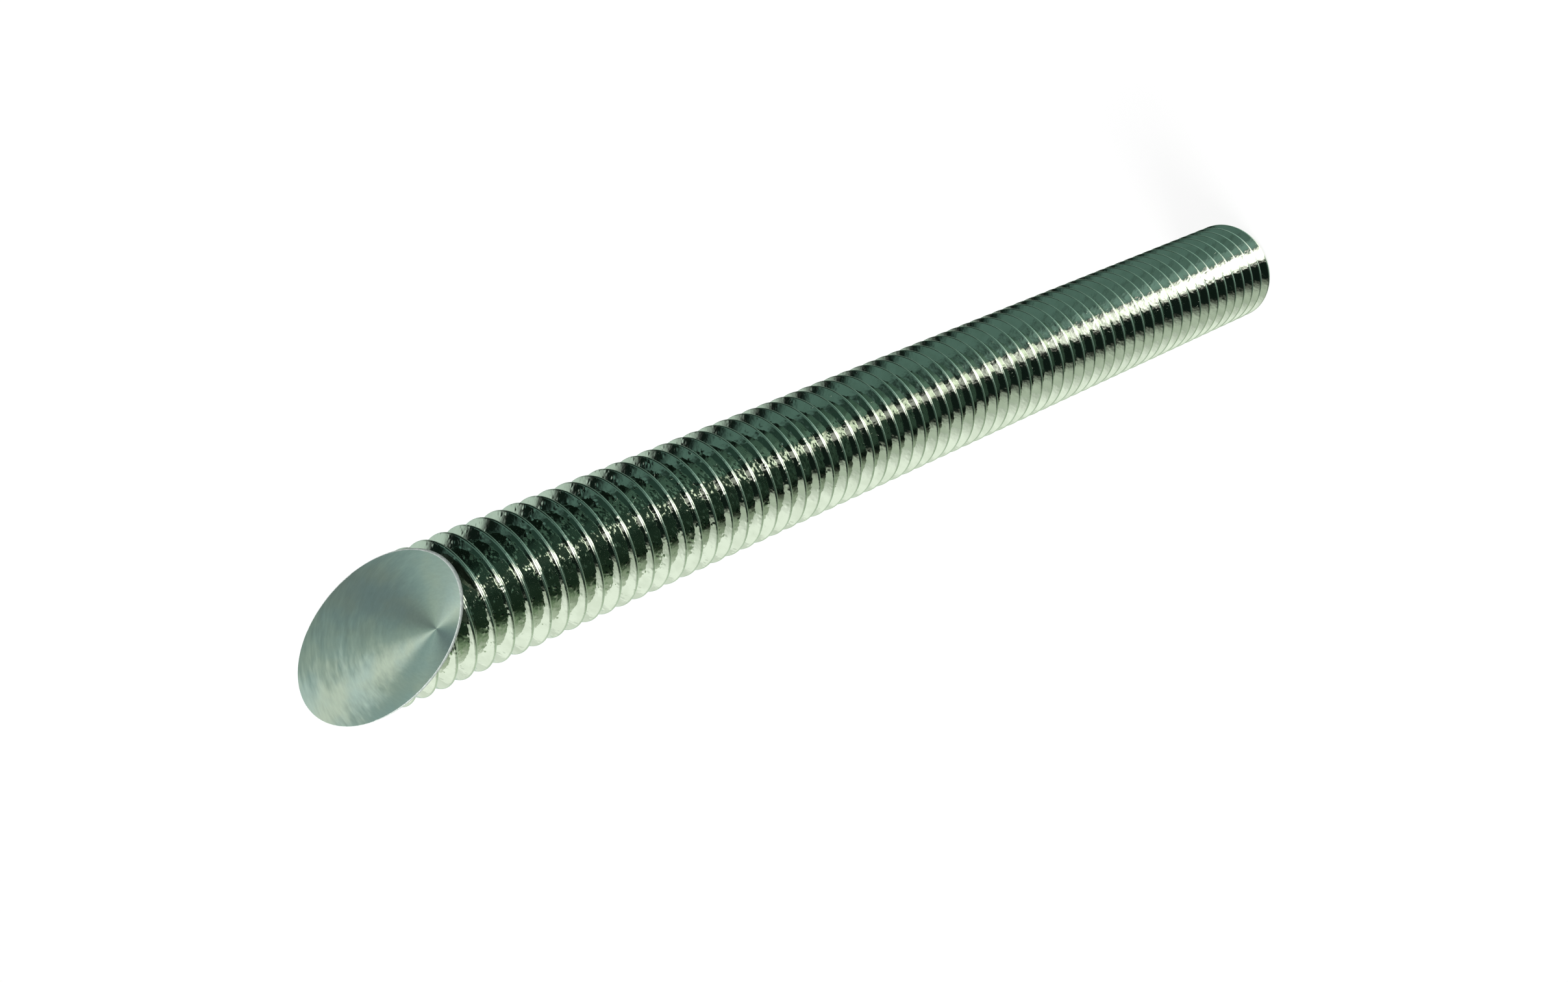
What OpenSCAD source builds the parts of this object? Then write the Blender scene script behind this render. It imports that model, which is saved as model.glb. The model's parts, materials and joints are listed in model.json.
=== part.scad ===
// Metric threaded rod: one straight bar with a single-start right-hand thread from end to end.
// One end is sawn square. The other is sawn on a slant, which leaves a long point, and its face
// keeps a thin plain rim of the full diameter, so that the face is a clean oval.
// Frame: the rod stands on its square end at Z = 0, its axis is +Z and its point leans to +X.
// Millimetres.

/* [Rod] */
// Length from the square end to the tip of the point
rod_length = 86.2; // [30:0.2:100]
// Slant of the face at the pointed end, 0 being a square face, in degrees
cut_slant = 43; // [0:1:60]
// Plain rim left round the slanted face, where the grooves stop, measured along the axis
end_rim = 0.2; // [0.1:0.05:1]

/* [Thread] */
// Major diameter, measured over the crests
major_d = 8; // [6:0.5:12]
// Axial distance from one crest to the next
pitch = 1.25; // [1.1:0.05:2]
// Angle between the two flanks of one groove, in degrees
flank_angle = 60; // [55:1:75]
// Height of the lowest whole crest above the square end, measured on the +X side
first_crest = 1.08; // [0:0.02:1.1]

/* [Hidden] */

steel = [0.66, 0.70, 0.66];

// ISO metric profile, as shares of the pitch and of the sharp V that the flanks would make
crest_share = 1 / 8;
root_share = 1 / 8;
crest_flat = pitch * crest_share;
root_flat = pitch * root_share;
flank_run = (pitch - crest_flat - root_flat) / 2;
thread_depth = flank_run / tan(flank_angle / 2);
crest_r = major_d / 2;
root_r = crest_r - thread_depth;

// One turn of the thread's outline: [distance along the axis, radius]
profile = [
    [0, root_r],
    [root_flat, root_r],
    [root_flat + flank_run, crest_r],
    [root_flat + flank_run + crest_flat, crest_r]
];
corners = len(profile);

// The blank runs past both cuts by spare_turns, and is then sawn to length
spare_turns = 2;
turns = ceil(rod_length / pitch) + 2 * spare_turns;
blank_start = first_crest - crest_flat / 2 - flank_run - root_flat - spare_turns * pitch;

// Facets round one turn: as many as the facet budget allows, and alike in each quarter of a turn,
// so that facet corners fall on the X and Y axes
facet_budget = 12200;
quarter_facets = floor(facet_budget / (2 * corners * turns) / 4);
facets = 4 * quarter_facets;
steps = turns * facets;

// Height at which the slanted face crosses the axis
face_height = rod_length - crest_r * tan(cut_slant);
// A size that reaches past the rod and its spare turns on every side
clear = 4 * major_d + 2 * spare_turns * pitch;

// Point of profile corner c after s steps along the helix
function helix_point(s, c) =
    let (turn = 360 * s / facets)
    [
        profile[c][1] * cos(turn),
        profile[c][1] * sin(turn),
        blank_start + pitch * s / facets + profile[c][0]
    ];

// Number of that point in the list of points. Past the last step only corner 0 goes on, for one
// more turn, and past the last corner of a turn comes corner 0 of the next
function point_number(s, c) =
    c == corners ? point_number(s + facets, 0)
    : s <= steps ? s * corners + c
    : (steps + 1) * corners + s - steps - 1;

// A fan from the number hub over the helix step from s to s + facets, closed by the thread's outline
function cap(hub, s, flip) = [
    for (i = [0 : facets - 1])
        let (p = point_number(s + i, 0), q = point_number(s + i + 1, 0))
        flip ? [hub, q, p] : [hub, p, q],
    for (c = [0 : corners - 1])
        let (p = point_number(s, c), q = point_number(s, c + 1))
        flip ? [hub, p, q] : [hub, q, p]
];

// Bar of full thread, longer than the rod at both ends
module thread_blank() {
    spiral = [for (s = [0 : steps]) for (c = [0 : corners - 1]) helix_point(s, c)];
    last_turn = [for (s = [steps + 1 : steps + facets]) helix_point(s, 0)];
    hubs = [
        [0, 0, blank_start + pitch / 2],
        [0, 0, blank_start + pitch * (turns + 1 / 2)]
    ];
    first_hub = len(spiral) + len(last_turn);
    sides = [
        for (s = [0 : steps - 1]) for (c = [0 : corners - 1])
            let (
                here = point_number(s, c),
                above = point_number(s, c + 1),
                next = point_number(s + 1, c),
                next_above = point_number(s + 1, c + 1)
            )
            each [[here, above, next], [next, above, next_above]]
    ];
    polyhedron(
        points = concat(spiral, last_turn, hubs),
        faces = concat(sides, cap(first_hub, 0, false), cap(first_hub + 1, steps, true))
    );
}

// What the square cut takes off below Z = 0
module square_cut() {
    translate([-clear / 2, -clear / 2, -clear]) cube([clear, clear, clear]);
}

// Slanted block whose base crosses the axis at height low and whose top does so at low + depth
module slanted_block(low, depth) {
    translate([0, 0, low])
        rotate([0, -cut_slant, 0])
            translate([-clear, -clear, 0]) cube([2 * clear, 2 * clear, depth * cos(cut_slant)]);
}

// The rim behind the slanted face: a slice of plain bar, with one side to each facet of the thread
module face_rim() {
    outline = [for (i = [0 : facets - 1]) crest_r * [cos(360 * i / facets), sin(360 * i / facets)]];
    intersection() {
        linear_extrude(rod_length) polygon(outline);
        slanted_block(face_height - end_rim, end_rim);
    }
}

// The grooves run into the rim for half its depth, and end there
module threaded_rod() {
    color(steel) {
        difference() {
            thread_blank();
            square_cut();
            slanted_block(face_height - end_rim / 2, 2 * clear);
        }
        face_rim();
    }
}

threaded_rod();
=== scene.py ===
"""Look of a metric threaded rod that stands on its square end.

The frame is that of the solids: metres, +Z along the rod from the square end to the slanted end,
and +X towards the long point.
"""

import json
import math

import bmesh
import bpy
import numpy as np
from mathutils import Matrix, Vector


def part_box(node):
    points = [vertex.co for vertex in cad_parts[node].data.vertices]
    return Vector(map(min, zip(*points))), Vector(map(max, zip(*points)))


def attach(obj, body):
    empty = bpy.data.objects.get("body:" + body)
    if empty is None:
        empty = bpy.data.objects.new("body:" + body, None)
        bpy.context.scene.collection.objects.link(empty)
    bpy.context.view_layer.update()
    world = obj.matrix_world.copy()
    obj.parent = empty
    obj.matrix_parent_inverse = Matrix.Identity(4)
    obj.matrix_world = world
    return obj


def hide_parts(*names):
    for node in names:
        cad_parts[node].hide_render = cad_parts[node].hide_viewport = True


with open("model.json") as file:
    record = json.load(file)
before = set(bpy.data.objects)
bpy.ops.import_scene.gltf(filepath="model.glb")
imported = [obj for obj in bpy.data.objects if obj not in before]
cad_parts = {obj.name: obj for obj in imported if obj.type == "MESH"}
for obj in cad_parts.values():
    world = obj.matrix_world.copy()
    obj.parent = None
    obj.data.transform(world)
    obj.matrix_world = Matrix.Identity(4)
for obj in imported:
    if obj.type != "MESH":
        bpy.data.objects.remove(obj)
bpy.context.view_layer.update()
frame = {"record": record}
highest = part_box("threaded_rod")[1]
mounts = {mount["name"]: mount for mount in frame["record"]["mounts"]}
face_normal = mounts["slanted_end"]["axis"]

# Radius over the crests and length of the rod, in metres, and slant of the pointed end's face
CREST_R = highest[0]
ROD_LENGTH = highest[2]
SLANT = math.atan2(-face_normal[0], face_normal[2])
# Distance from crest to crest, height of the lowest whole crest on the +X side, and depth of the
# plain rim behind the slanted face, as in the solid
PITCH = 0.00125
FIRST_CREST = 0.00108
RIM = 0.0002
# Height at which the slanted face crosses the axis
FACE_HEIGHT = ROD_LENGTH - CREST_R * math.tan(SLANT)

# Rolled thread: angle between a flank and the axis, radii of the round crest and root, and how far
# the crests stay inside the solid's
FLANK = math.radians(60)
CREST_ROUND = 0.10 * PITCH
ROOT_ROUND = 0.04 * PITCH
CREST_DROP = 0.00001
# Share of its own lean that a flank's shading keeps
SOFTER = 0.925
# Steps to one turn of the helix, and turns past each end that are sawn off
TURN_STEPS = 96
SPARE_TURNS = 2

# Oval face: radius of its rounded edge, steps round it, and rings from the middle to the edge
EDGE_ROUND = 0.00005
FACE_STEPS = 144
FACE_RINGS = 10


# ---------------------------------------------------------------- camera

def aim_camera(place, forward, up, lens):
    """Camera at a point of the frame, looking along forward, with up at the top of its view."""
    data = bpy.data.cameras.new("camera")
    data.lens = lens
    data.sensor_width = 36.0
    data.clip_start = 0.001
    data.clip_end = 10.0
    camera = bpy.data.objects.new("camera", data)
    bpy.context.scene.collection.objects.link(camera)
    back = -Vector(forward).normalized()
    right = Vector(up).cross(back).normalized()
    turn = Matrix((right, back.cross(right), back)).transposed()
    camera.matrix_world = Matrix.Translation(place) @ turn.to_4x4()
    bpy.context.scene.camera = camera


# The camera stands about a rod's length to the side, above the slanted end, and looks down at it
aim_camera(
    place=(-0.07479, 0.04320, 0.12255),
    forward=(0.68182, -0.37627, -0.62734),
    up=(-0.66502, -0.67608, -0.31727),
    lens=39.77,
)


# ---------------------------------------------------------------- meshes

def mesh_piece(name, points, faces, material):
    """Smooth-shaded object at the origin from an array of points and an array of faces."""
    mesh = bpy.data.meshes.new(name)
    mesh.from_pydata(points.reshape(-1, 3).tolist(), [], faces.tolist())
    mesh.materials.append(material)
    mesh.polygons.foreach_set("use_smooth", np.ones(len(mesh.polygons), dtype=bool))
    piece = bpy.data.objects.new(name, mesh)
    bpy.context.scene.collection.objects.link(piece)
    return piece


def thread_outline():
    """One pitch of the thread, from groove to groove: along the axis, radius, and lean.

    Crest and root are arcs that meet straight flanks. A crest point stands at the arc's centre
    plus its radius times (sin t, cos t), and a root point is the same with cos t turned over; t
    runs from minus the flank's angle to plus that angle. The lean is the angle of the shading
    normal from straight out towards +Z: the surface's own, softened by SOFTER.
    """
    top = CREST_R - CREST_DROP
    sharp_depth = PITCH / 2 * math.tan(FLANK)
    crest_centre = top - CREST_ROUND
    root_centre = top + CREST_ROUND - sharp_depth + 2 * ROOT_ROUND
    root_out = np.linspace(0, FLANK, 3)
    crest = np.linspace(-FLANK, FLANK, 9)
    root_in = -root_out[:0:-1]
    along = np.concatenate((
        ROOT_ROUND * np.sin(root_out),
        PITCH / 2 + CREST_ROUND * np.sin(crest),
        PITCH + ROOT_ROUND * np.sin(root_in),
    ))
    radius = np.concatenate((
        root_centre - ROOT_ROUND * np.cos(root_out),
        crest_centre + CREST_ROUND * np.cos(crest),
        root_centre - ROOT_ROUND * np.cos(root_in),
    ))
    lean = SOFTER * np.concatenate((-root_out, crest, -root_in))
    return along, radius, lean


def cut_off(bm, point, normal):
    """Remove what lies past the plane, and close the cut with flat faces of the second material."""
    everything = list(bm.verts) + list(bm.edges) + list(bm.faces)
    cut = bmesh.ops.bisect_plane(
        bm, geom=everything, plane_co=point, plane_no=normal, dist=1e-8, clear_outer=True
    )
    rim = [item for item in cut["geom_cut"] if isinstance(item, bmesh.types.BMEdge)]
    closed = bmesh.ops.edgeloop_fill(bm, edges=rim)
    for face in closed["faces"]:
        face.smooth = False
        face.material_index = 1


def set_smooth_normals(mesh):
    """Give every smooth face's corners the normals kept with the points, and drop those."""
    kept = np.empty(3 * len(mesh.vertices))
    mesh.attributes["smooth_normal"].data.foreach_get("vector", kept)
    kept = kept.reshape(-1, 3)
    kept /= np.linalg.norm(kept, axis=1)[:, None]
    corner_point = np.empty(len(mesh.loops), dtype=int)
    mesh.loops.foreach_get("vertex_index", corner_point)
    sizes = np.empty(len(mesh.polygons), dtype=int)
    mesh.polygons.foreach_get("loop_total", sizes)
    flat_normals = np.empty(3 * len(mesh.polygons))
    mesh.polygons.foreach_get("normal", flat_normals)
    smooth = np.empty(len(mesh.polygons), dtype=bool)
    mesh.polygons.foreach_get("use_smooth", smooth)
    own = np.repeat(flat_normals.reshape(-1, 3), sizes, axis=0)
    normals = np.where(np.repeat(smooth, sizes)[:, None], kept[corner_point], own)
    mesh.normals_split_custom_set(normals.tolist())
    mesh.attributes.remove(mesh.attributes["smooth_normal"])


def thread_normals(angle, radius, lean):
    """Shading normal at each step of the helix and each point of the outline.

    It leans from straight out towards +Z, and it turns back from the way of the helix by the
    sine of the lean times the pitch, over the length of one turn at its radius.
    """
    out_x = np.cos(angle)[:, None]
    out_y = np.sin(angle)[:, None]
    twist = np.sin(lean) * PITCH / (2 * np.pi * radius)
    return np.stack((
        np.cos(lean) * out_x + twist * out_y,
        np.cos(lean) * out_y - twist * out_x,
        np.sin(lean) + 0 * out_x,
    ), axis=-1)


def threaded_bar(material, end_material):
    """The thread as one outline carried up a helix, sawn off at both ends.

    Step s turns the outline by s / TURN_STEPS of a turn and lifts it by the same share of the
    pitch. The last point of an outline is the first point of the outline one turn later.
    """
    along, radius, lean = thread_outline()
    corners = len(along)
    turns = math.ceil(ROD_LENGTH / PITCH) + 2 * SPARE_TURNS
    start = FIRST_CREST - PITCH / 2 - SPARE_TURNS * PITCH
    steps = np.arange((turns + 1) * TURN_STEPS)
    angle = 2 * np.pi * (steps % TURN_STEPS) / TURN_STEPS
    lift = start + PITCH * steps / TURN_STEPS
    points = np.stack((
        np.cos(angle)[:, None] * radius,
        np.sin(angle)[:, None] * radius,
        lift[:, None] + along,
    ), axis=-1)
    number = np.arange(points.shape[0] * corners).reshape(-1, corners)
    span = turns * TURN_STEPS
    rows = np.concatenate((number[:span], number[TURN_STEPS:span + TURN_STEPS, :1]), axis=1)
    here = rows[:-1]
    ahead = rows[1:]
    faces = np.stack((here[:, :-1], ahead[:, :-1], ahead[:, 1:], here[:, 1:]), axis=-1)
    piece = mesh_piece("threaded_bar", points, faces.reshape(-1, 4), material)
    piece.data.materials.append(end_material)
    smooth = piece.data.attributes.new("smooth_normal", "FLOAT_VECTOR", "POINT")
    smooth.data.foreach_set("vector", thread_normals(angle, radius, lean).ravel())
    bm = bmesh.new()
    bm.from_mesh(piece.data)
    loose = [v for v in bm.verts if not v.link_faces]
    bmesh.ops.delete(bm, geom=loose, context="VERTS")
    cut_off(bm, (0, 0, 0), (0, 0, -1))
    cut_off(bm, (0, 0, FACE_HEIGHT - RIM / 2), face_normal)
    bm.to_mesh(piece.data)
    bm.free()
    set_smooth_normals(piece.data)
    return piece


def slanted_face(material, edge_material, under_material):
    """The oval face with its rim: a lathe outline, sheared so that it follows the slant.

    A point at radius r and depth h below the face stands at
    (r cos a, r sin a, face height - h + tan(slant) r cos a).
    """
    flat_r = CREST_R - EDGE_ROUND
    bend = np.linspace(0, np.pi / 2, 5)
    rings = np.linspace(0, flat_r, FACE_RINGS + 2)[1:-1]
    round_r = flat_r + EDGE_ROUND * np.sin(bend)
    round_depth = EDGE_ROUND - EDGE_ROUND * np.cos(bend)
    radius = np.concatenate((rings, round_r, [CREST_R, flat_r]))
    depth = np.concatenate((0 * rings, round_depth, [RIM - EDGE_ROUND / 2, RIM]))
    angle = np.linspace(0, 2 * np.pi, FACE_STEPS, endpoint=False)
    x = radius * np.cos(angle)[:, None]
    y = radius * np.sin(angle)[:, None]
    points = np.stack((x, y, FACE_HEIGHT - depth + math.tan(SLANT) * x), axis=-1)
    number = np.arange(points.shape[0] * points.shape[1]).reshape(points.shape[:2])
    ahead = np.roll(number, -1, axis=0)
    faces = np.stack((number[:, :-1], number[:, 1:], ahead[:, 1:], ahead[:, :-1]), axis=-1)
    piece = mesh_piece("slanted_face", points, faces.reshape(-1, 4), material)
    piece.data.materials.append(edge_material)
    piece.data.materials.append(under_material)
    bm = bmesh.new()
    bm.from_mesh(piece.data)
    bmesh.ops.holes_fill(bm, edges=[e for e in bm.edges if e.is_boundary])
    bmesh.ops.recalc_face_normals(bm, faces=bm.faces)
    for face in bm.faces:
        # 1 on the oval face, -1 under the rim, and between the two on the rim's side
        facing = face.normal.dot(Vector(face_normal))
        face.material_index = 0 if facing > 0.99 else 1 if facing > -0.85 else 2
    bm.to_mesh(piece.data)
    bm.free()
    return piece


# ---------------------------------------------------------------- materials

def new_material(name):
    """Material with a fresh Principled shader, as (material, nodes, links, shader)."""
    material = bpy.data.materials.new(name)
    material.use_nodes = True
    nodes = material.node_tree.nodes
    return material, nodes, material.node_tree.links, nodes["Principled BSDF"]


def feed(links, socket, source):
    """Set a socket to a number, a colour or a vector, or link it to another node's output."""
    if isinstance(source, bpy.types.NodeSocket):
        links.new(source, socket)
    else:
        socket.default_value = source


def maths(nodes, links, operation, *sources):
    """Output of a Math node over numbers or other outputs."""
    node = nodes.new("ShaderNodeMath")
    node.operation = operation
    for socket, source in zip(node.inputs, sources):
        feed(links, socket, source)
    return node.outputs[0]


def vector_maths(nodes, links, operation, *sources):
    """Output of a Vector Math node over vectors or other outputs."""
    node = nodes.new("ShaderNodeVectorMath")
    node.operation = operation
    for socket, source in zip(node.inputs, sources):
        feed(links, socket, source)
    return node.outputs["Value" if operation in ("LENGTH", "DOT_PRODUCT") else "Vector"]


def stretch(nodes, links, source, low_in, high_in, low_out=0, high_out=1):
    """Map Range node, clamped, with a smooth step between its ends."""
    node = nodes.new("ShaderNodeMapRange")
    node.interpolation_type = "SMOOTHSTEP"
    for name, value in (
        ("From Min", low_in), ("From Max", high_in), ("To Min", low_out), ("To Max", high_out)
    ):
        node.inputs[name].default_value = value
    links.new(source, node.inputs["Value"])
    return node.outputs["Result"]


def grain(nodes, links, place, scale, detail=2.0, roughness=0.5):
    """Noise over a place, as a factor about 0.5.

    The scale is the number of its cells to the metre, or one number for each axis.
    """
    if not isinstance(scale, tuple):
        scale = (scale, scale, scale)
    scaled = vector_maths(nodes, links, "MULTIPLY", place, scale)
    node = nodes.new("ShaderNodeTexNoise")
    node.inputs["Scale"].default_value = 1.0
    node.inputs["Detail"].default_value = detail
    node.inputs["Roughness"].default_value = roughness
    links.new(scaled, node.inputs["Vector"])
    return node.outputs["Fac"]


def blend_colours(nodes, links, share, first, second):
    """Mix node between two colours. It has its sockets A, B and Result once for each data type."""
    node = nodes.new("ShaderNodeMix")
    node.data_type = "RGBA"
    colour_a, colour_b = (socket for socket in node.inputs if socket.type == "RGBA")
    result = next(socket for socket in node.outputs if socket.type == "RGBA")
    feed(links, node.inputs["Factor"], share)
    feed(links, colour_a, first)
    feed(links, colour_b, second)
    return result


def bump(nodes, links, height, depth, under=None):
    """Bump node whose height of 1 stands for a depth in metres."""
    node = nodes.new("ShaderNodeBump")
    node.inputs["Distance"].default_value = depth
    links.new(height, node.inputs["Height"])
    if under is not None:
        links.new(under, node.inputs["Normal"])
    return node.outputs["Normal"]


# Zinc plate: its bright and its dull colour, the share of the cloud from which it dulls and at
# which it is dullest, and how far inside CREST_R the crests begin and finish to lose their gloss
PLATE_BRIGHT = (0.60, 0.65, 0.56, 1)
PLATE_DULL = (0.54, 0.59, 0.50, 1)
CLOUD_DULLS = 0.40
CLOUD_DULLEST = 0.66
CREST_BEGINS = 0.00010
CREST_IS_DULL = 0.00002

# Roughness of the plate, and what the cloud, the rolling lines and the crests add to it
PLATE_ROUGH = 0.02
CLOUD_ROUGH = 0.06
LINE_ROUGH = 0.02
CREST_ROUGH = 0.12

# Marks in the plate: cells to the metre, over all or along each axis, and depth or height in metres
CLOUD_CELLS = 900
CLOUD_DEPTH = 0.000012
LINE_CELLS = (1500, 1500, 24000)
LINE_DEPTH = 0.0000002
DENT_CELLS = 3600
DENT_DEPTH = 0.000005
NODULE_CELLS = 2900
NODULE_HEIGHT = 0.000020

# Nodules: reach as a share of a cell, the chance under which a cell has none and over which it
# has a whole one, and the heights on the rod between which they grow from LOW_NODULES of their
# own height, as at the square end, to all of it
NODULE_REACH = 0.60
NODULE_NONE = 0.25
NODULE_WHOLE = 0.95
NODULES_GROW = 0.040
NODULES_GROWN = 0.074
LOW_NODULES = 0.22


def nodules(nodes, links, place):
    """Height of small round nodules, one to a cell: a smooth step down from the cell's middle.

    Each has a share of that height by chance, and they are lower towards the square end.
    """
    cells = nodes.new("ShaderNodeTexVoronoi")
    cells.inputs["Scale"].default_value = NODULE_CELLS
    links.new(place, cells.inputs["Vector"])
    chance = nodes.new("ShaderNodeSeparateColor")
    links.new(cells.outputs["Color"], chance.inputs[0])
    parts = nodes.new("ShaderNodeSeparateXYZ")
    links.new(place, parts.inputs[0])
    shape = stretch(nodes, links, cells.outputs["Distance"], 0, NODULE_REACH, 1, 0)
    own = stretch(nodes, links, chance.outputs[0], NODULE_NONE, NODULE_WHOLE)
    grown = stretch(
        nodes, links, parts.outputs["Z"], NODULES_GROW, NODULES_GROWN, LOW_NODULES, 1
    )
    return maths(nodes, links, "MULTIPLY", maths(nodes, links, "MULTIPLY", shape, own), grown)


def plated_thread():
    """Bright zinc plate over a rolled thread.

    The crests are a little duller than the flanks. Fine rolling lines run round the rod, the
    plate is slightly uneven, and small round nodules lie all over it.
    """
    material, nodes, links, shader = new_material("zinc_plate")
    place = nodes.new("ShaderNodeTexCoord").outputs["Object"]
    across = vector_maths(nodes, links, "MULTIPLY", place, (1, 1, 0))
    radius = vector_maths(nodes, links, "LENGTH", across)
    crest = stretch(nodes, links, radius, CREST_R - CREST_BEGINS, CREST_R - CREST_IS_DULL)
    cloud = grain(nodes, links, place, CLOUD_CELLS, 3.0)
    lines = grain(nodes, links, place, LINE_CELLS, 2.0, 0.6)
    dents = grain(nodes, links, place, DENT_CELLS, 1.0)
    dull = stretch(nodes, links, cloud, CLOUD_DULLS, CLOUD_DULLEST)
    colour = blend_colours(nodes, links, dull, PLATE_BRIGHT, PLATE_DULL)
    links.new(colour, shader.inputs["Base Color"])
    rough = maths(nodes, links, "MULTIPLY_ADD", cloud, CLOUD_ROUGH, PLATE_ROUGH)
    rough = maths(nodes, links, "MULTIPLY_ADD", lines, LINE_ROUGH, rough)
    rough = maths(nodes, links, "MULTIPLY_ADD", crest, CREST_ROUGH, rough)
    links.new(rough, shader.inputs["Roughness"])
    normal = bump(nodes, links, lines, LINE_DEPTH)
    normal = bump(nodes, links, cloud, CLOUD_DEPTH, normal)
    normal = bump(nodes, links, dents, DENT_DEPTH, normal)
    normal = bump(nodes, links, nodules(nodes, links, place), NODULE_HEIGHT, normal)
    links.new(normal, shader.inputs["Normal"])
    shader.inputs["Metallic"].default_value = 1.0
    return material


# Hub of the turned grain, from the middle of the slanted face: up the slope, and towards +Y
HUB_UP = -0.00280
HUB_ALONG_Y = 0.00210

# Turned grain: cells of its noise to the metre, and the radii of the circles on which that noise
# is read, which set how far one streak reaches round the hub
RING_CELLS = 9000
RING_REACH = 0.0009
SHIFT_CELLS = 3200
SHIFT_REACH = 0.0014
PATCH_CELLS = 420
RING_DEPTH = 0.0000030
# Radii between which the shift of the painted beams grows, and its size there, as shares of a turn
SWING_START = 0.0004
SWING_FULL = 0.0060
LEAST_SWING = 0.01
MOST_SWING = 0.09
# Tints of the patches, brightness with what rings and patches add to it, and the same of roughness
COOL_TINT = (0.95, 0.99, 1.02, 1)
WARM_TINT = (1.04, 1.00, 0.94, 1)
FACE_BRIGHT = 0.83
RING_BRIGHT = 0.26
PATCH_BRIGHT = 0.12
FACE_ROUGH = 0.32
RING_ROUGH = 0.12

# The turned face has four shades: bright beams that are painted highlight, a pale painted highlight
# beside the broadest beam, plain grey, and dark wedges that are painted shade
BEAM_HIGHLIGHT = (0.58, 0.72, 0.61, 1)
PALE_HIGHLIGHT = (0.40, 0.53, 0.46, 1)
GREY = (0.30, 0.42, 0.36, 1)
WEDGE_SHADE = (0.16, 0.23, 0.21, 1)
# Where they stand round the hub, in degrees from down the slope
FACE_PAINTED_BEAMS = (
    (0, BEAM_HIGHLIGHT),
    (30, PALE_HIGHLIGHT),
    (65, GREY),
    (110, WEDGE_SHADE),
    (150, GREY),
    (170, BEAM_HIGHLIGHT),
    (190, GREY),
    (220, GREY),
    (275, WEDGE_SHADE),
    (330, GREY),
    (360, BEAM_HIGHLIGHT),
)


def turned_face():
    """Steel face with a turned grain: rings round a hub, and soft beams that fan out from it.

    A place on the face is the hub plus a radius times a direction. The grain is noise at (reach
    times direction, radius), so it changes fast outwards and slowly round the hub. The beams are
    a ramp over the direction's angle, and each ring shifts it a little, so that they are ragged.
    The beams are painted highlight and the dark wedges are painted shade: the turned grain's shine,
    put into the colour.
    """
    material, nodes, links, shader = new_material("turned_face")
    place = nodes.new("ShaderNodeTexCoord").outputs["Object"]
    flat = nodes.new("ShaderNodeMapping")
    flat.vector_type = "TEXTURE"
    flat.inputs["Location"].default_value = (
        HUB_UP * math.cos(SLANT), HUB_ALONG_Y, FACE_HEIGHT + HUB_UP * math.sin(SLANT)
    )
    flat.inputs["Rotation"].default_value = (0, -SLANT, 0)
    links.new(place, flat.inputs["Vector"])
    in_plane = vector_maths(nodes, links, "MULTIPLY", flat.outputs[0], (1, 1, 0))
    radius = vector_maths(nodes, links, "LENGTH", in_plane)
    toward = vector_maths(nodes, links, "NORMALIZE", in_plane)
    outward = nodes.new("ShaderNodeCombineXYZ")
    links.new(radius, outward.inputs["Z"])
    ring_place, shift_place = (
        vector_maths(nodes, links, "MULTIPLY_ADD", toward, (reach, reach, 0), outward.outputs[0])
        for reach in (RING_REACH, SHIFT_REACH)
    )
    rings = grain(nodes, links, ring_place, RING_CELLS, 3.0, 0.6)
    shift = grain(nodes, links, shift_place, SHIFT_CELLS, 2.0, 0.6)
    patches = grain(nodes, links, flat.outputs[0], PATCH_CELLS, 3.0)
    parts = nodes.new("ShaderNodeSeparateXYZ")
    links.new(flat.outputs[0], parts.inputs[0])
    turn = maths(nodes, links, "ARCTAN2", parts.outputs["Y"], parts.outputs["X"])
    share = maths(nodes, links, "MULTIPLY_ADD", turn, 0.5 / math.pi, 0.5)
    swing = stretch(
        nodes, links, radius, SWING_START, SWING_FULL, LEAST_SWING, MOST_SWING
    )
    shift = maths(nodes, links, "MULTIPLY", maths(nodes, links, "SUBTRACT", shift, 0.5), swing)
    share = maths(nodes, links, "FRACT", maths(nodes, links, "ADD", share, shift))
    # Painted highlight and painted shade of the turned grain, by the angle round the hub
    ramp = nodes.new("ShaderNodeValToRGB")
    ramp.color_ramp.interpolation = "CARDINAL"
    stops = ramp.color_ramp.elements
    for degrees, _ in FACE_PAINTED_BEAMS[1:-1]:
        stops.new(degrees / 360)
    for stop, (degrees, shade) in zip(stops, FACE_PAINTED_BEAMS):
        stop.position = degrees / 360
        stop.color = shade
    links.new(share, ramp.inputs[0])
    warmth = stretch(nodes, links, patches, 0.35, 0.65)
    tint = blend_colours(nodes, links, warmth, COOL_TINT, WARM_TINT)
    tinted = vector_maths(nodes, links, "MULTIPLY", ramp.outputs[0], tint)
    lift = maths(nodes, links, "MULTIPLY_ADD", rings, RING_BRIGHT, FACE_BRIGHT)
    lift = maths(nodes, links, "MULTIPLY_ADD", patches, PATCH_BRIGHT, lift)
    colour = vector_maths(nodes, links, "SCALE", tinted)
    links.new(lift, colour.node.inputs["Scale"])
    links.new(colour, shader.inputs["Base Color"])
    rough = maths(nodes, links, "MULTIPLY_ADD", rings, RING_ROUGH, FACE_ROUGH)
    links.new(rough, shader.inputs["Roughness"])
    normal = bump(nodes, links, rings, RING_DEPTH)
    links.new(normal, shader.inputs["Normal"])
    shader.inputs["Metallic"].default_value = 0.25
    return material


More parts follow.
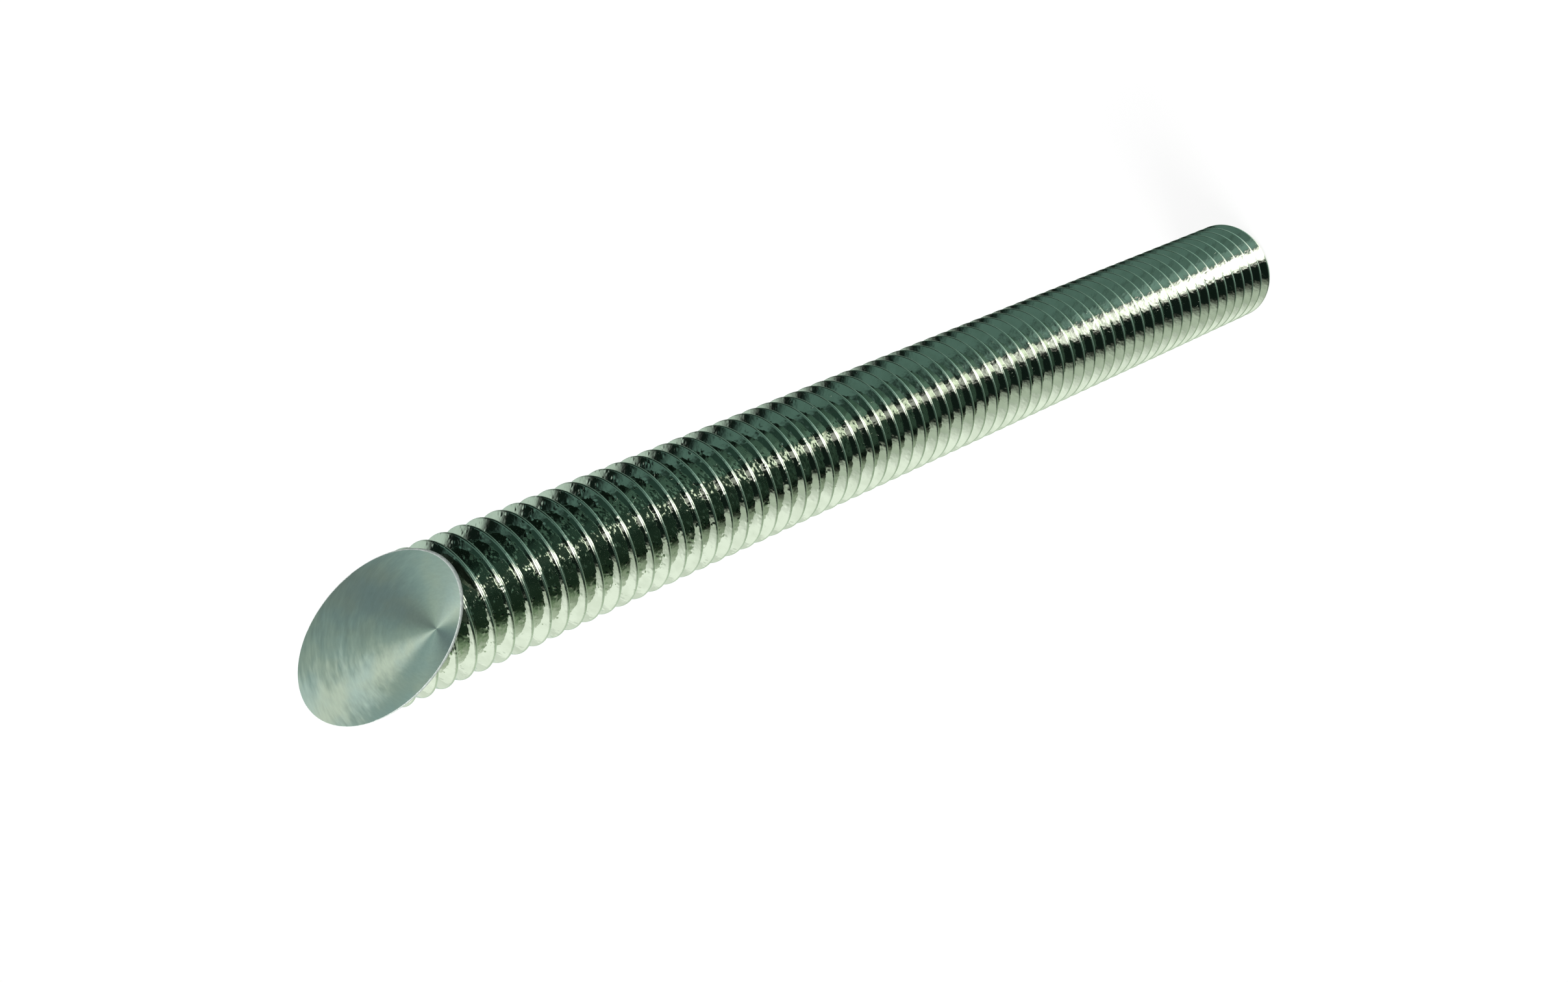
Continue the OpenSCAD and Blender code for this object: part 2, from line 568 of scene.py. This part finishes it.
# The rim, whose light colours are partly bare steel and partly a painted highlight along the edge,
# and the painted shade under it: colours at either end of their grain, its cells to the metre,
# their roughness and what the grain adds to it, and the grain's depth in metres
# Rim colours: partly bare steel, partly a painted highlight along the edge
EDGE_GREY = (0.62, 0.70, 0.66, 1)
EDGE_HIGHLIGHT = (0.84, 0.91, 0.87, 1)
EDGE_CELLS = (3000, 3000, 9000)
EDGE_ROUGH = 0.25
EDGE_NICK_ROUGH = 0.20
# Under the rim: dark colours that are painted shade, for the shadow of the recess
RECESS_SHADE_DARK = (0.04, 0.06, 0.05, 1)
RECESS_SHADE_LIGHT = (0.11, 0.14, 0.12, 1)
RECESS_CELLS = 2500
RECESS_ROUGH = 0.30
RECESS_MOTTLE_ROUGH = 0.30
NICK_DEPTH = 0.000004


def bare_edge_highlight():
    """Bare steel of the narrow rim round the slanted face, with fine nicks, in light colours that
    are partly its own and partly a painted highlight along the edge.
    """
    material, nodes, links, shader = new_material("bare_edge_highlight")
    place = nodes.new("ShaderNodeTexCoord").outputs["Object"]
    nicks = grain(nodes, links, place, EDGE_CELLS, 2.0, 0.6)
    edge_mottle = stretch(nodes, links, nicks, 0.35, 0.65)
    colour = blend_colours(nodes, links, edge_mottle, EDGE_GREY, EDGE_HIGHLIGHT)
    links.new(colour, shader.inputs["Base Color"])
    rough = maths(nodes, links, "MULTIPLY_ADD", nicks, EDGE_NICK_ROUGH, EDGE_ROUGH)
    links.new(rough, shader.inputs["Roughness"])
    normal = bump(nodes, links, nicks, NICK_DEPTH)
    links.new(normal, shader.inputs["Normal"])
    shader.inputs["Metallic"].default_value = 0.1
    return material


def painted_shade_recess():
    """Painted shade under the narrow rim, where the thread runs out: dark steel that stands in for
    the shadow of the recess.
    """
    material, nodes, links, shader = new_material("painted_shade_recess")
    place = nodes.new("ShaderNodeTexCoord").outputs["Object"]
    shade_mottle = grain(nodes, links, place, RECESS_CELLS, 3.0, 0.6)
    colour = blend_colours(nodes, links, shade_mottle, RECESS_SHADE_DARK, RECESS_SHADE_LIGHT)
    links.new(colour, shader.inputs["Base Color"])
    rough = maths(nodes, links, "MULTIPLY_ADD", shade_mottle, RECESS_MOTTLE_ROUGH, RECESS_ROUGH)
    links.new(rough, shader.inputs["Roughness"])
    normal = bump(nodes, links, shade_mottle, NICK_DEPTH)
    links.new(normal, shader.inputs["Normal"])
    shader.inputs["Metallic"].default_value = 0.5
    return material


plate = plated_thread()
turned = turned_face()
bar = threaded_bar(plate, turned)
face = slanted_face(turned, bare_edge_highlight(), painted_shade_recess())
for piece in (bar, face):
    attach(piece, "root")
    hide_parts("threaded_rod")


# ---------------------------------------------------------------- studio

# Directions across the rod: towards the camera's side, and towards the lower edge of its view
FRONT = np.array((-0.866, 0.5, 0))
LOWER = np.array((0.5, 0.866, 0))
UP = np.array((0, 0, 1))

# Boards round the rod, each upright and facing it: azimuth of the middle from FRONT towards
# LOWER, half the width, lowest and highest elevation at the middle, softness sideways and
# upwards, all in degrees, and the glow
TENT_BOARDS = (
    (127, 57, -20, 74, 28, 12, (0.62, 0.70, 0.59)),
    (136, 46, -20, 74, 36, 12, (0.94, 1.01, 0.91)),
    (140, 42, 12, 74, 40, 14, (1.24, 1.30, 1.21)),
    (184, 46, -20, 43, 24, 14, (0.66, 0.79, 0.73)),
    (-86, 25, 18, 58, 20, 10, (0.114, 0.205, 0.180)),
    (-45, 22, -6, 61, 16, 12, (0.110, 0.195, 0.170)),
    (-28, 14, -6, 63, 24, 12, (0.230, 0.370, 0.330)),
    (-70, 40, 58, 76, 14, 10, (0.026, 0.058, 0.046)),
    (22, 24, -6, 46, 16, 14, (0.060, 0.105, 0.085)),
)
# The glow between the boards, and how far round a board its top edge still drops
TENT_DARK = (0.007, 0.014, 0.011)
BOARD_REACH = 80
TENT_RADIUS = 1.5
# Degrees between one point of the dome and the next, and how far the cloth lies over the floor
TENT_STEP = 2.0
CLOTH_LIFT = 0.0001

# The strip light: azimuth at its foot and at its top, the elevation of its top, and at one
# elevation after another its strength, with half its width and its softness as shares of its
# distance
STRIP_FOOT_AZIMUTH = -8
STRIP_TOP_AZIMUTH = 3
STRIP_TOP = 68
STRIP_STOPS = (
    (0, 1.7, 0.16, 0.18),
    (8, 2.2, 0.16, 0.18),
    (18, 4.5, 0.14, 0.18),
    (44, 4.5, 0.14, 0.18),
    (50, 4.2, 0.14, 0.18),
    (55, 3.4, 0.14, 0.17),
    (60, 1.5, 0.12, 0.14),
    (66, 0.5, 0.07, 0.08),
    (74, 0.45, 0.045, 0.05),
    (84, 0.55, 0.03, 0.035),
)
STRIP_COLOUR = (1.0, 1.0, 0.94)

# The floor that the metal sees: azimuth, glow close to the rod and glow further out
FLOOR_STOPS = (
    (-180, (0.60, 0.72, 0.64), (0.66, 0.79, 0.73)),
    (-144, (0.36, 0.44, 0.38), (0.52, 0.64, 0.58)),
    (-124, (0.10, 0.16, 0.13), (0.03, 0.04, 0.035)),
    (-96, (0.12, 0.19, 0.16), (0.004, 0.009, 0.009)),
    (-72, (0.20, 0.32, 0.28), (0.005, 0.010, 0.009)),
    (-50, (0.30, 0.49, 0.43), (0.014, 0.032, 0.027)),
    (-36, (0.44, 0.68, 0.61), (0.048, 0.096, 0.082)),
    (-22, (1.3, 1.4, 1.3), (0.044, 0.086, 0.072)),
    (-8, (3.0, 3.0, 2.8), (0.060, 0.094, 0.080)),
    (3, (1.3, 1.4, 1.3), (0.040, 0.074, 0.061)),
    (14, (0.26, 0.40, 0.35), (0.022, 0.044, 0.035)),
    (34, (0.12, 0.19, 0.16), (0.027, 0.052, 0.038)),
    (54, (0.18, 0.25, 0.19), (0.021, 0.042, 0.028)),
    (64, (0.32, 0.41, 0.30), (0.038, 0.064, 0.039)),
    (71, (0.38, 0.47, 0.34), (0.14, 0.20, 0.14)),
    (79, (0.42, 0.52, 0.38), (0.35, 0.46, 0.33)),
    (88, (0.46, 0.57, 0.43), (0.50, 0.63, 0.47)),
    (100, (0.50, 0.62, 0.48), (0.64, 0.78, 0.60)),
    (130, (0.78, 0.90, 0.76), (0.74, 0.86, 0.71)),
    (180, (0.60, 0.72, 0.64), (0.66, 0.79, 0.73)),
)
# Reach of the glow close to the rod, and half the width over which it gives way, as a share of it
POOL_RADIUS = 0.17
POOL_SOFT = 0.2

# The floor: half its width, its grey under the lamps, and the glow that it has where it is seen
FLOOR_HALF = 3.0
FLOOR_GREY = (0.22, 0.22, 0.22, 1)
FLOOR_GLOW = (0.83, 0.83, 0.83, 1)
# Strength of the room's light, and what is added to it where it is seen, so that it is white
ROOM_LIGHT = 0.5
ROOM_SEEN = 0.5
# Soft lamps: name, place, side in metres and power in watts, and the point at which they aim
LAMPS = (
    ("room_lamp", FRONT * 0.1 + LOWER * 0.55 + UP * 0.8, 0.5, 6.0),
    ("fill_lamp", FRONT * 0.2 - LOWER * 0.55 + UP * 0.6, 0.6, 1.0),
)
LAMP_TARGET = (0, 0, 0.04)


def smooth_step(value, start, end):
    """0 before start, 1 past end, and a soft rise between them."""
    share = np.clip((value - start) / (end - start), 0, 1)
    return share * share * (3 - 2 * share)


def soft_band(value, start, end, soft):
    """1 between start and end and 0 outside, with a soft rise of a given width over both edges."""
    rise = smooth_step(value, start - soft / 2, start + soft / 2)
    return rise * (1 - smooth_step(value, end - soft / 2, end + soft / 2))


def tent_glow(azimuth, elevation):
    """Glow of the dome in a direction: the boards over a dark ground, and the strip over both.

    The top edge of an upright board drops to the sides: its tangent goes with the cosine of the
    angle from the board's middle.
    """
    glow = np.ones(azimuth.shape + (1,)) * TENT_DARK
    for middle, half, low_edge, high_edge, side_soft, top_soft, board in TENT_BOARDS:
        off = (azimuth - middle + 180) % 360 - 180
        drop = np.cos(np.radians(np.clip(off, -BOARD_REACH, BOARD_REACH)))
        top = np.degrees(np.arctan(math.tan(math.radians(high_edge)) * drop))
        across = soft_band(off, -half, half, side_soft)
        up = soft_band(elevation, low_edge, top, top_soft)
        glow = np.maximum(glow, (across * up)[..., None] * board)
    lean = smooth_step(elevation, 0, STRIP_TOP) * (STRIP_TOP_AZIMUTH - STRIP_FOOT_AZIMUTH)
    off = np.radians(azimuth - STRIP_FOOT_AZIMUTH - lean)
    side = np.cos(np.radians(elevation)) * np.sin(off)
    heights, strengths, halves, softs = zip(*STRIP_STOPS)
    half = np.interp(elevation, heights, halves)
    share = soft_band(side, -half, half, np.interp(elevation, heights, softs))
    share *= np.interp(elevation, heights, strengths) * (np.cos(off) > 0)
    return np.maximum(glow, share[..., None] * STRIP_COLOUR)


def floor_glow(azimuth):
    """Glow of the floor close to the rod and further out, in one direction after another."""
    stops = np.array([stop[0] for stop in FLOOR_STOPS])
    glows = np.array([stop[1:] for stop in FLOOR_STOPS])
    place = np.interp(azimuth, stops, np.arange(len(stops)))
    before = np.minimum(place.astype(int), len(stops) - 2)
    share = (place - before)[:, None, None]
    glow = glows[before] * (1 - share) + glows[before + 1] * share
    return glow[:, 0], glow[:, 1]


def stage_mesh(name, points, faces, material):
    """Plain mesh of the studio, which is no part of the rod."""
    mesh = bpy.data.meshes.new(name)
    mesh.from_pydata(points, [], faces)
    mesh.materials.append(material)
    stage = bpy.data.objects.new(name, mesh)
    bpy.context.scene.collection.objects.link(stage)
    return stage


def seen_rays(nodes, links):
    """1 for the rays of the camera and of reflections, and 0 for those that light something."""
    light_path = nodes.new("ShaderNodeLightPath")
    camera_ray = light_path.outputs["Is Camera Ray"]
    glossy_ray = light_path.outputs["Is Glossy Ray"]
    return maths(nodes, links, "MAXIMUM", camera_ray, glossy_ray)


def floor_material():
    """Pale floor that the camera sees as white, but for the rod's faint shadow."""
    material, nodes, links, shader = new_material("pale_floor")
    shader.inputs["Base Color"].default_value = FLOOR_GREY
    shader.inputs["Roughness"].default_value = 0.9
    shader.inputs["Specular IOR Level"].default_value = 0.0
    glow = nodes.new("ShaderNodeEmission")
    glow.inputs["Color"].default_value = FLOOR_GLOW
    links.new(seen_rays(nodes, links), glow.inputs["Strength"])
    lit = nodes.new("ShaderNodeAddShader")
    links.new(shader.outputs[0], lit.inputs[0])
    links.new(glow.outputs[0], lit.inputs[1])
    links.new(lit.outputs[0], nodes["Material Output"].inputs["Surface"])
    return material


def lay_floor():
    """Square floor at the height on which the rod stands."""
    corners = [
        (-FLOOR_HALF, -FLOOR_HALF, 0),
        (FLOOR_HALF, -FLOOR_HALF, 0),
        (FLOOR_HALF, FLOOR_HALF, 0),
        (-FLOOR_HALF, FLOOR_HALF, 0),
    ]
    stage_mesh("floor", corners, [(0, 1, 2, 3)], floor_material())


def tent_material():
    """Even glow of each point's own colour."""
    material, nodes, links, _ = new_material("tent")
    colour = nodes.new("ShaderNodeAttribute")
    colour.attribute_name = "tent_colour"
    glow = nodes.new("ShaderNodeEmission")
    links.new(colour.outputs["Color"], glow.inputs["Color"])
    links.new(glow.outputs[0], nodes["Material Output"].inputs["Surface"])
    return material


def light_tent():
    """Tent that only the metal sees: a cloth on the floor round the rod, and a dome over it.

    A dome point stands at the tent's radius in the direction (azimuth, elevation). The cloth has
    its close glow to about POOL_RADIUS, and its further glow past that.
    """
    turns = np.arange(-180, 180, TENT_STEP)
    heights = np.concatenate((np.arange(0, 90, TENT_STEP), [90]))
    azimuth, elevation = np.meshgrid(turns, heights)
    angle = np.radians(turns)[:, None]
    across = np.cos(angle) * FRONT + np.sin(angle) * LOWER
    slope = np.radians(heights)[:, None, None]
    dome = TENT_RADIUS * (np.cos(slope) * across + np.sin(slope) * UP)
    hole = CREST_R * 1.05
    pool_in = POOL_RADIUS * (1 - POOL_SOFT)
    pool_out = POOL_RADIUS * (1 + POOL_SOFT)
    reaches = np.array((hole, pool_in, pool_out, TENT_RADIUS))
    cloth = reaches[:, None, None] * across + UP * CLOTH_LIFT
    points = np.concatenate((cloth, dome))
    close, further = floor_glow(turns)
    cloth_glow = np.stack((close, close, further, further))
    glow = np.concatenate((cloth_glow, tent_glow(azimuth, elevation)))
    number = np.arange(points.shape[0] * points.shape[1]).reshape(points.shape[:2])
    ahead = np.roll(number, -1, axis=1)
    faces = np.stack((number[:-1], ahead[:-1], ahead[1:], number[1:]), axis=-1).reshape(-1, 4)
    tent = stage_mesh("tent", points.reshape(-1, 3).tolist(), faces.tolist(), tent_material())
    shade = tent.data.attributes.new("tent_colour", "FLOAT_COLOR", "POINT")
    rgba = np.concatenate((glow, np.ones(glow.shape[:-1] + (1,))), axis=-1)
    shade.data.foreach_set("color", rgba.ravel())
    tent.visible_camera = False
    tent.visible_diffuse = False
    tent.visible_shadow = False


def soft_lamp(name, place, size, power):
    """Square soft lamp aimed at the middle of the rod. Neither camera nor metal sees it."""
    data = bpy.data.lights.new(name, "AREA")
    data.shape = "SQUARE"
    data.size = size
    data.energy = power
    lamp = bpy.data.objects.new(name, data)
    bpy.context.scene.collection.objects.link(lamp)
    lamp.location = place
    aim = Vector(LAMP_TARGET) - Vector(place)
    lamp.rotation_euler = aim.to_track_quat("-Z", "Y").to_euler()
    lamp.visible_camera = False
    lamp.visible_glossy = False


def white_room():
    """World that lights everything evenly, and that is white where it is seen."""
    world = bpy.data.worlds.new("room")
    bpy.context.scene.world = world
    world.use_nodes = True
    nodes, links = world.node_tree.nodes, world.node_tree.links
    seen = seen_rays(nodes, links)
    strength = maths(nodes, links, "MULTIPLY_ADD", seen, ROOM_SEEN, ROOM_LIGHT)
    links.new(strength, nodes["Background"].inputs["Strength"])
    nodes["Background"].inputs["Color"].default_value = (1, 1, 1, 1)


lay_floor()
light_tent()
white_room()
for name, place, size, power in LAMPS:
    soft_lamp(name, place, size, power)

bpy.context.scene.view_settings.view_transform = "Standard"
